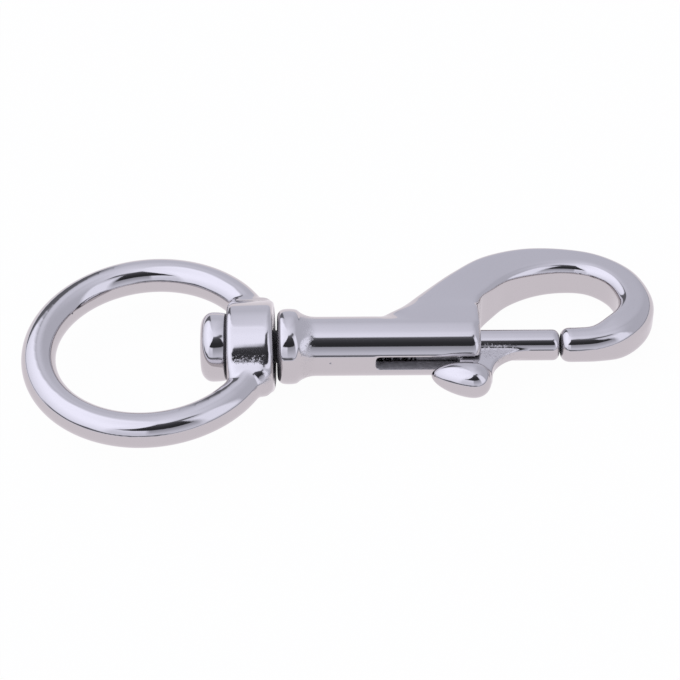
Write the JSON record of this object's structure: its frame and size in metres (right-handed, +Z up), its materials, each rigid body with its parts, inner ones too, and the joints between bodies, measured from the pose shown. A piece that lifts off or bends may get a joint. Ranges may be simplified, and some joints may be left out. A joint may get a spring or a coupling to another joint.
{
  "type": "swivel snap hook",
  "caption": "Polished steel swivel-eye snap hook: a round eye turns on a stud behind a slotted barrel, and a sprung sliding bolt with a thumb knob closes the curved hook.",
  "frame": {"origin": "middle of the eye, on the swivel's axis", "axes": "+X along the barrel from the eye to the hook's nose, +Y towards the bow, away from the thumb knob, +Z up, square to the plane in which the hook lies"},
  "size_m": [0.1013, 0.0433, 0.0142],
  "materials": {
    "polished_casting": "mirror polished stainless steel casting",
    "polished_bolt": "polished stainless steel, left rough where the thumb stalk joins",
    "polished_eye": "mirror polished stainless steel casting with small pits at the boss",
    "polished_stud": "mirror polished stainless steel",
    "spring_wire": "drawn stainless spring wire"
  },
  "bodies": {
    "hook": {"hook_body": "polished_casting", "swivel_stud": "polished_stud", "bolt_spring": "spring_wire"},
    "bolt": {"bolt": "polished_bolt"},
    "eye": {"swivel_eye": "polished_eye"}
  },
  "joints": [
    {"name": "bolt_slide", "type": "slide", "parent": "hook", "child": "bolt", "axis": [-1, 0, 0], "range_m": [0, 0.012], "stiffness_N_per_m": 90, "springref_m": -0.01, "deforming": ["bolt_spring"]},
    {"name": "eye_swivel", "type": "hinge", "parent": "hook", "child": "eye", "pos_m": [0.01607, 0, 0], "axis": [1, 0, 0], "continuous": true}
  ]
}
